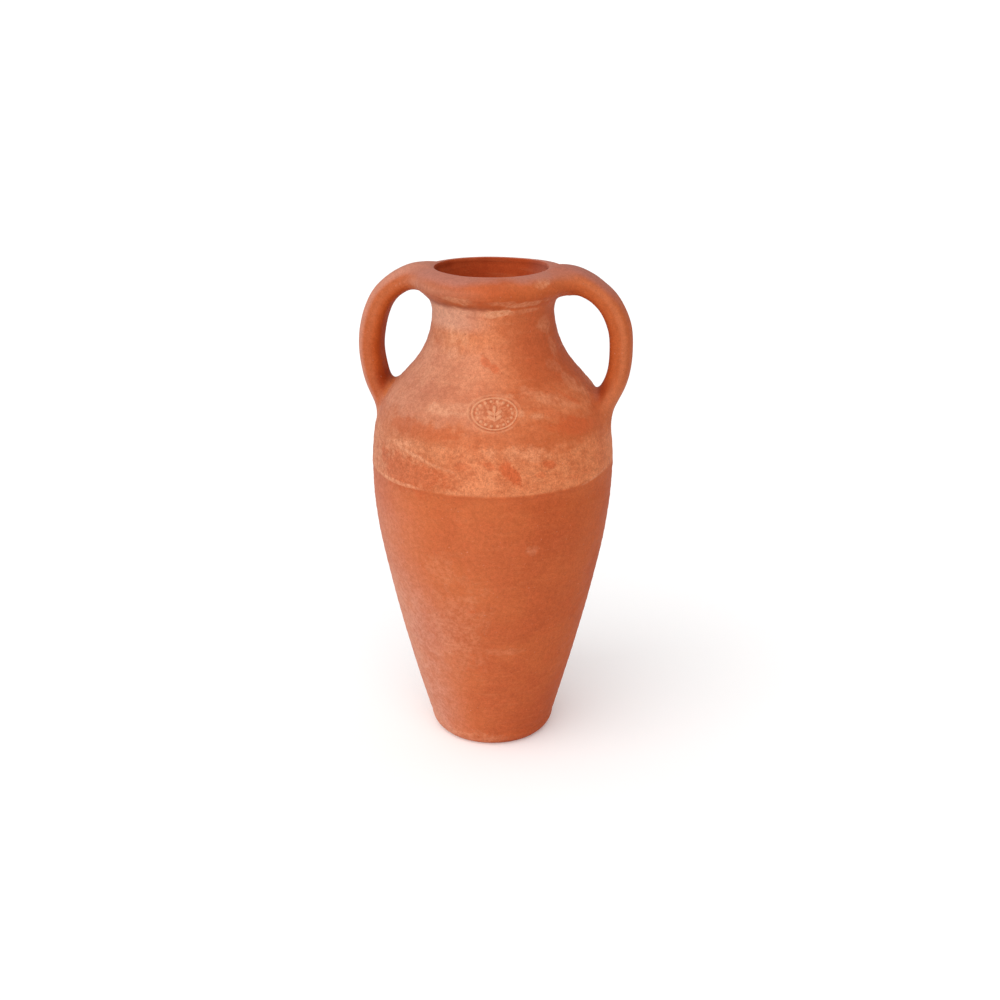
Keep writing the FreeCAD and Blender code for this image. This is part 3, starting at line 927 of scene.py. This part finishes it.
def pale_marks(g, f):
    """The pale patches and strokes, broken up by the fine noise."""
    pale = g.times(patches(g, f.unrolled, f.ragged, PALE_PATCHES), f.wall)
    broken = g.times(f.uneven, g.ramp(f.small, 0.30, 0.62, 0.55, 1.15))
    return g.times(pale, broken, clamp=True)


def thin_dust_and_sheen(g, f, red):
    """The thinnest dust, with painted sheen, on the left: over the shoulder, under the rim and on the rim.
    """
    shoulder = g.times(band(g, f.height, 366, 430, 10, 12), g.ramp(facing(g, -45), 0.5, 0.95, 0, 0.15))
    neck = g.times(band(g, g.z, 448, 470, 6, 3), g.ramp(facing(g, -60), 0.4, 0.95, 0, 0.34))
    rim = g.times(band(g, g.z, 482, 492, 5, 5), g.ramp(facing(g, -52), 0.62, 0.98, 0, 0.13))
    kept = g.scaled(red, -0.8, 1.0)
    return g.times(strongest(g, shoulder, neck, rim), kept, f.wall)


def side_bloom_and_sheen(g, f, red):
    """The dusty bloom with painted sheen down the left side, where the light falls, thinner high up, on the
    straps and on red patches.
    """
    side = g.maths("SUBTRACT", facing(g, -88), g.ramp(g.z, 150, 235, 0, 0.26))
    side = g.times(g.ramp(side, 0.22, 1.08, 0.03, 0.50), g.ramp(g.z, 240, 310, 1.0, 0.55))
    side = g.times(side, g.ramp(f.strap, 0, 1, 1.0, 0.25), g.scaled(red, -0.7, 1.0))
    bloom = g.ramp(g.scaled(f.small, 0.4, f.medium), 0.45, 0.95, 0.55, 1.1)
    return g.times(side, bloom, clamp=True)


def lip_sheen(g, f):
    """Painted sheen of the light from above: the pinkish top of the rim, which comes lower at the sides
    than in front, most on the left.
    """
    level = g.scaled(g.maths("SUBTRACT", f.medium, 0.5), 6.0, g.z)
    level = g.maths("ADD", level, g.ramp(facing(g, -50), 0.50, 0.98, 0.0, 3.0))
    level = g.maths("ADD", level, g.ramp(facing(g, 0), 0.90, 0.99, 2.5, 0.0))
    return g.times(g.ramp(level, TOP - 4.5, TOP + 3.0, 0, 0.95), f.wall)


def strap_tints(g, f, colour):
    """The straps: painted sheen on the tops and on the left outer edge, a painted highlight on the ridge on
    the right, painted shade on the faces to the neck and in their corner at the shoulder.
    """
    # painted sheen on the straps' upward faces, chosen by which way they face
    normal = g.node("ShaderNodeNewGeometry").outputs["Normal"]
    top = g.ramp(g.node("ShaderNodeSeparateXYZ", normal).outputs[2], 0.30, 0.95, 0, 0.85)
    colour = g.mix(g.times(top, f.strap), colour, STRAP_TOP_SHEEN)
    outward = g.mark("outward")
    left = g.ramp(g.x, 10, -40)
    right = g.maths("SUBTRACT", f.strap, left, clamp=True)
    # painted sheen on the left strap's outer edge
    edge = g.times(g.ramp(outward, 0.25, 0.65, 0, 0.92), g.times(left, f.strap))
    colour = g.mix(edge, colour, STRAP_EDGE_SHEEN)
    # painted highlight on the right strap's ridge and low on its foot
    crown = g.times(band(g, outward, 0.12, 0.62, 0.16, 0.16), right, 0.5)
    foot = g.times(g.ramp(outward, -0.55, 0.05), right, g.ramp(g.z, 406, 376, 0, 0.7))
    colour = g.mix(g.maths("MAXIMUM", crown, foot), colour, STRAP_RIDGE_HIGHLIGHT)
    # painted shade on the straps' faces towards the neck
    inward = g.ramp(outward, 0.0, -0.62)
    inner_face_shade = g.times(inward, g.ramp(f.strap, 0, 0.4), g.scaled(left, 0.55, 0.35))
    colour = g.mix(inner_face_shade, colour, INNER_FACE_SHADE, blend="MULTIPLY")
    # painted shade in the corner under each strap, where it meets the shoulder
    corner = g.times(inward, g.ramp(f.strap, 0.25, 0.90), g.ramp(g.z, 402, 384))
    return g.mix(corner, colour, CORNER_SHADE, blend="MULTIPLY")


def stamp_tints_and_shade(g, f, colour):
    """The stamp: rust as painted shade in its sunk field, mottled with cream, and cream on the raised lines
    as painted highlight and wear.
    """
    relief = g.mark("relief")
    # painted shade in the sunk field
    colour = g.mix(g.ramp(relief, -0.35, -1.1, 0, 0.6), colour, RUST)
    mottled = g.times(g.ramp(relief, -0.2, -0.9), g.ramp(f.small, 0.48, 0.70, 0, 0.55))
    colour = g.mix(mottled, colour, CREAM)
    # painted highlight, with wear, on the raised lines
    return g.mix(g.ramp(g.mark("raised"), 0.35, 1.05, 0, 0.9), colour, CREAM)


def fine_grain(g, f, colour, lit, belly):
    """Light and dark grain, stronger in the pale bands."""
    rough = g.scaled(lit, 0.35, g.ramp(belly, 0.2, 0.8, 1.0, 1.45))
    value = g.maths("ADD", g.ramp(f.grain, 0.25, 0.75, -0.10, 0.10), g.ramp(f.small, 0.3, 0.7, -0.07, 0.07))
    return g.brightened(colour, g.scaled(value, rough, 1.0))


def weathered_clay():
    """The outside: orange terracotta with pale wiped bands, red patches, bloom and grit, and painted sheen,
    highlights and shade.
    """
    g = Graph("weathered_terracotta")
    f = Fields(g)
    belly = belly_band(g, f)
    lit = wiped_bands(g, f, belly)
    red = g.times(patches(g, f.unrolled, f.ragged, RED_PATCHES), f.wall)
    colour = g.mix(lit, clay_body(g, f), PALE)
    colour = g.mix(red, colour, RED)
    colour = g.mix(fold_shadow(g, f), colour, DARK)
    # painted shade on the right side, away from the key light
    colour = g.mix(right_side_shade(g, f), colour, DEEP_SHADE, blend="MULTIPLY")
    # painted shade on the left shoulder and neck
    colour = g.mix(left_shade(g, f), colour, SHADE, blend="MULTIPLY")
    colour = g.mix(pale_marks(g, f), colour, CREAM)
    # dust and painted sheen on the left of the shoulder, neck and rim
    colour = g.mix(thin_dust_and_sheen(g, f, red), colour, DUST_AND_SHEEN)
    # dusty bloom and painted sheen down the left side
    colour = g.mix(side_bloom_and_sheen(g, f, red), colour, DUST_AND_SHEEN)
    # painted sheen on the rim's top
    colour = g.mix(lip_sheen(g, f), colour, SHEEN_PINK)
    colour = strap_tints(g, f, colour)
    speck = g.ramp(g.noise(2.4, 1, 0.5), 0.72, 0.77, 0, 0.45)
    chalk = g.ramp(g.noise(1.9, 1, 0.5, warp=0.5), 0.73, 0.79, 0, 0.22)
    colour = g.mix(speck, colour, DARK)
    colour = g.mix(chalk, colour, DUST_AND_SHEEN)
    colour = fine_grain(g, f, stamp_tints_and_shade(g, f, colour), lit, belly)
    bump = g.scaled(f.grain, 0.35, g.times(f.small, 0.8))
    bump = g.scaled(f.streak, 0.4, bump)
    bump = g.scaled(speck, -0.6, bump)
    return g.finish(colour, bump, g.ramp(f.medium, 0.3, 0.7, 0.60, 0.74), 0.22, gloss=0.10)


def inside_clay(name, dark, light):
    """The lining: deeper red clay with the rings of the thrower's fingers, and a pink painted sheen high on
    its right.
    """
    g = Graph(name)
    streak = g.noise(5.0, 4, 0.6, at=g.stretched(0.12), warp=0.3)
    medium, grain = g.noise(15, 4, 0.6), g.noise(1.3, 2, 0.6)
    colour = g.mix(g.ramp(medium, 0.35, 0.7), dark, light)
    colour = g.mix(g.ramp(streak, 0.48, 0.7, 0, 0.12), colour, PALE)
    # painted sheen high on the lining's right, which faces the light
    inner_lip_sheen = g.times(g.ramp(facing(g, 75), 0.30, 1.0, 0, 0.6), g.ramp(g.z, TOP - 34, TOP - 6))
    colour = g.brightened(g.mix(inner_lip_sheen, colour, SHEEN_PINK), g.ramp(grain, 0.25, 0.75, 0.90, 1.10))
    bump = g.scaled(grain, 0.4, g.times(streak, 1.2))
    return g.finish(colour, bump, g.ramp(medium, 0.3, 0.7, 0.7, 0.85), 0.3, gloss=0.05)


# ---- stage

FLOOR_CORNERS = 64
FLOOR_FAR = 250000  # radius in millimetres


def floor():
    """A plain pale disc that runs to the horizon."""
    g = Graph("pale_floor")
    g.shader.inputs["Base Color"].default_value = rgb(0.95, 0.95, 0.95)
    g.shader.inputs["Roughness"].default_value = 0.9
    g.shader.inputs["Specular IOR Level"].default_value = 0.0
    g.shader.inputs["Emission Color"].default_value = rgb(1, 1, 1)
    g.shader.inputs["Emission Strength"].default_value = 0.08
    ring = [(FLOOR_FAR * math.cos(a), FLOOR_FAR * math.sin(a), 0) for a in even_angles(FLOOR_CORNERS)]
    disc = make_object("floor", np.array(ring), [list(range(FLOOR_CORNERS))], [g.material])


def towards(turn, rise):
    """A direction from the pot: radians to the right of the front, and above the horizon."""
    a = FRONT + turn
    return Vector((math.sin(a) * math.cos(rise), -math.cos(a) * math.cos(rise), math.sin(rise)))


def sun(name, turn, rise, strength, softness):
    """A soft light from a direction: degrees to the right of the camera, and above the horizon."""
    data = bpy.data.lights.new(name, "SUN")
    data.energy = strength
    data.angle = math.radians(softness)
    lamp = bpy.data.objects.new(name, data)
    direction = towards(math.radians(turn), math.radians(rise))
    lamp.rotation_euler = direction.to_track_quat("Z", "Y").to_euler()
    lamp.location = direction * 3
    bpy.context.scene.collection.objects.link(lamp)


def lighting():
    """An even white sky, a soft sun high on the left and a weak wash from the left."""
    world = bpy.data.worlds.new("studio")
    world.use_nodes = True
    background = world.node_tree.nodes["Background"]
    background.inputs["Color"].default_value = rgb(1, 1, 1)
    background.inputs["Strength"].default_value = 0.66
    bpy.context.scene.world = world
    sun("key", turn=-25, rise=42, strength=1.76, softness=75)
    sun("left_wash", turn=-100, rise=22, strength=0.35, softness=60)
    bpy.context.scene.view_settings.view_transform = "Standard"


CAMERA_FAR = 1.45  # metres from the point it looks at
CAMERA_RISE = math.radians(20.4)
CAMERA_AIM = Vector((0, 0, 0.25))
CAMERA_LENS = 49.95  # millimetres, on a sensor 36 mm wide
CAMERA_SHIFT = (0.0074, 0.0050)


def camera():
    """The camera at the photograph's angle."""
    data = bpy.data.cameras.new("camera")
    data.lens, data.sensor_width = CAMERA_LENS, 36.0
    data.shift_x, data.shift_y = CAMERA_SHIFT
    data.clip_start, data.clip_end = 0.05, 1000
    eye = bpy.data.objects.new("camera", data)
    back = towards(0.0, CAMERA_RISE)
    eye.location = CAMERA_AIM + back * CAMERA_FAR
    eye.rotation_euler = (-back).to_track_quat("-Z", "Y").to_euler()
    bpy.context.scene.collection.objects.link(eye)
    bpy.context.scene.camera = eye


# ---- assembly


def place(piece, slot, *nodes):
    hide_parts(*nodes)
    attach(piece, BODY)
    return piece


def shoulder_levels():
    """Levels up the shoulder, close together across the stamp."""
    reach = STAMP_REACH * STAMP_HALF[1]
    middle = outer.length(STAMP_HEIGHT)
    low, high = np.interp([middle - reach, middle + reach], outer.lengths, outer.heights)
    below, above = spread(SEAM, low, WALL_STEP)[:-1], spread(high, NECK_OUT, UPPER_STEP)[1:]
    return np.concatenate([below, spread(low, high, STAMP_STEP), above])


def assemble():
    """Makes every visible piece and hides the CAD nodes it stands for."""
    skin = weathered_clay()
    lining = inside_clay("throat_clay", *THROAT_CLAY)
    coil_clay = inside_clay("coil_clay", *COIL_CLAY)
    both = [skin, lining]
    angles = even_angles(WALL_COLUMNS)
    place(base_slab(both), "terracotta_foot", "base_slab")
    body = wall_piece("lower_body", spread(FOOT_OUT, SEAM, WALL_STEP), spread(SEAM, FOOT_IN, LINING_STEP),
                      angles, both)
    place(body, "terracotta_body", "lower_wall")
    shoulder = wall_piece("shoulder_with_stamp", shoulder_levels(), spread(NECK_IN, SEAM, LINING_STEP),
                          stamp_angles(), both, proud=0.3)
    place(shoulder, "terracotta_shoulder", "shoulder")
    neck = wall_piece("waisted_neck", spread(NECK_OUT, COLLAR, NECK_STEP),
                      spread(COLLAR, NECK_IN, NECK_LINING_STEP), angles, both)
    place(neck, "terracotta_neck", "neck")
    rim = place(rim_piece(both), "terracotta_rim", "rim")
    vessel = ray_tree([rim.data, neck.data, shoulder.data], MM)
    for side, shape in (("left", LEFT_HANDLE), ("right", RIGHT_HANDLE)):
        handle = handle_piece(f"{side}_handle", shape, vessel, skin)
        node = f"handle_{side}"
        place(handle, "terracotta_handle", node, f"{node}_head_wad", f"{node}_foot_wad")
    for where in ("belly", "neck", "base"):
        coil = coil_piece(f"{where}_coil", f"{where}_seam_coil", coil_clay)
        place(coil, "inside_clay", f"{where}_seam_coil")


assemble()
floor()
lighting()
camera()
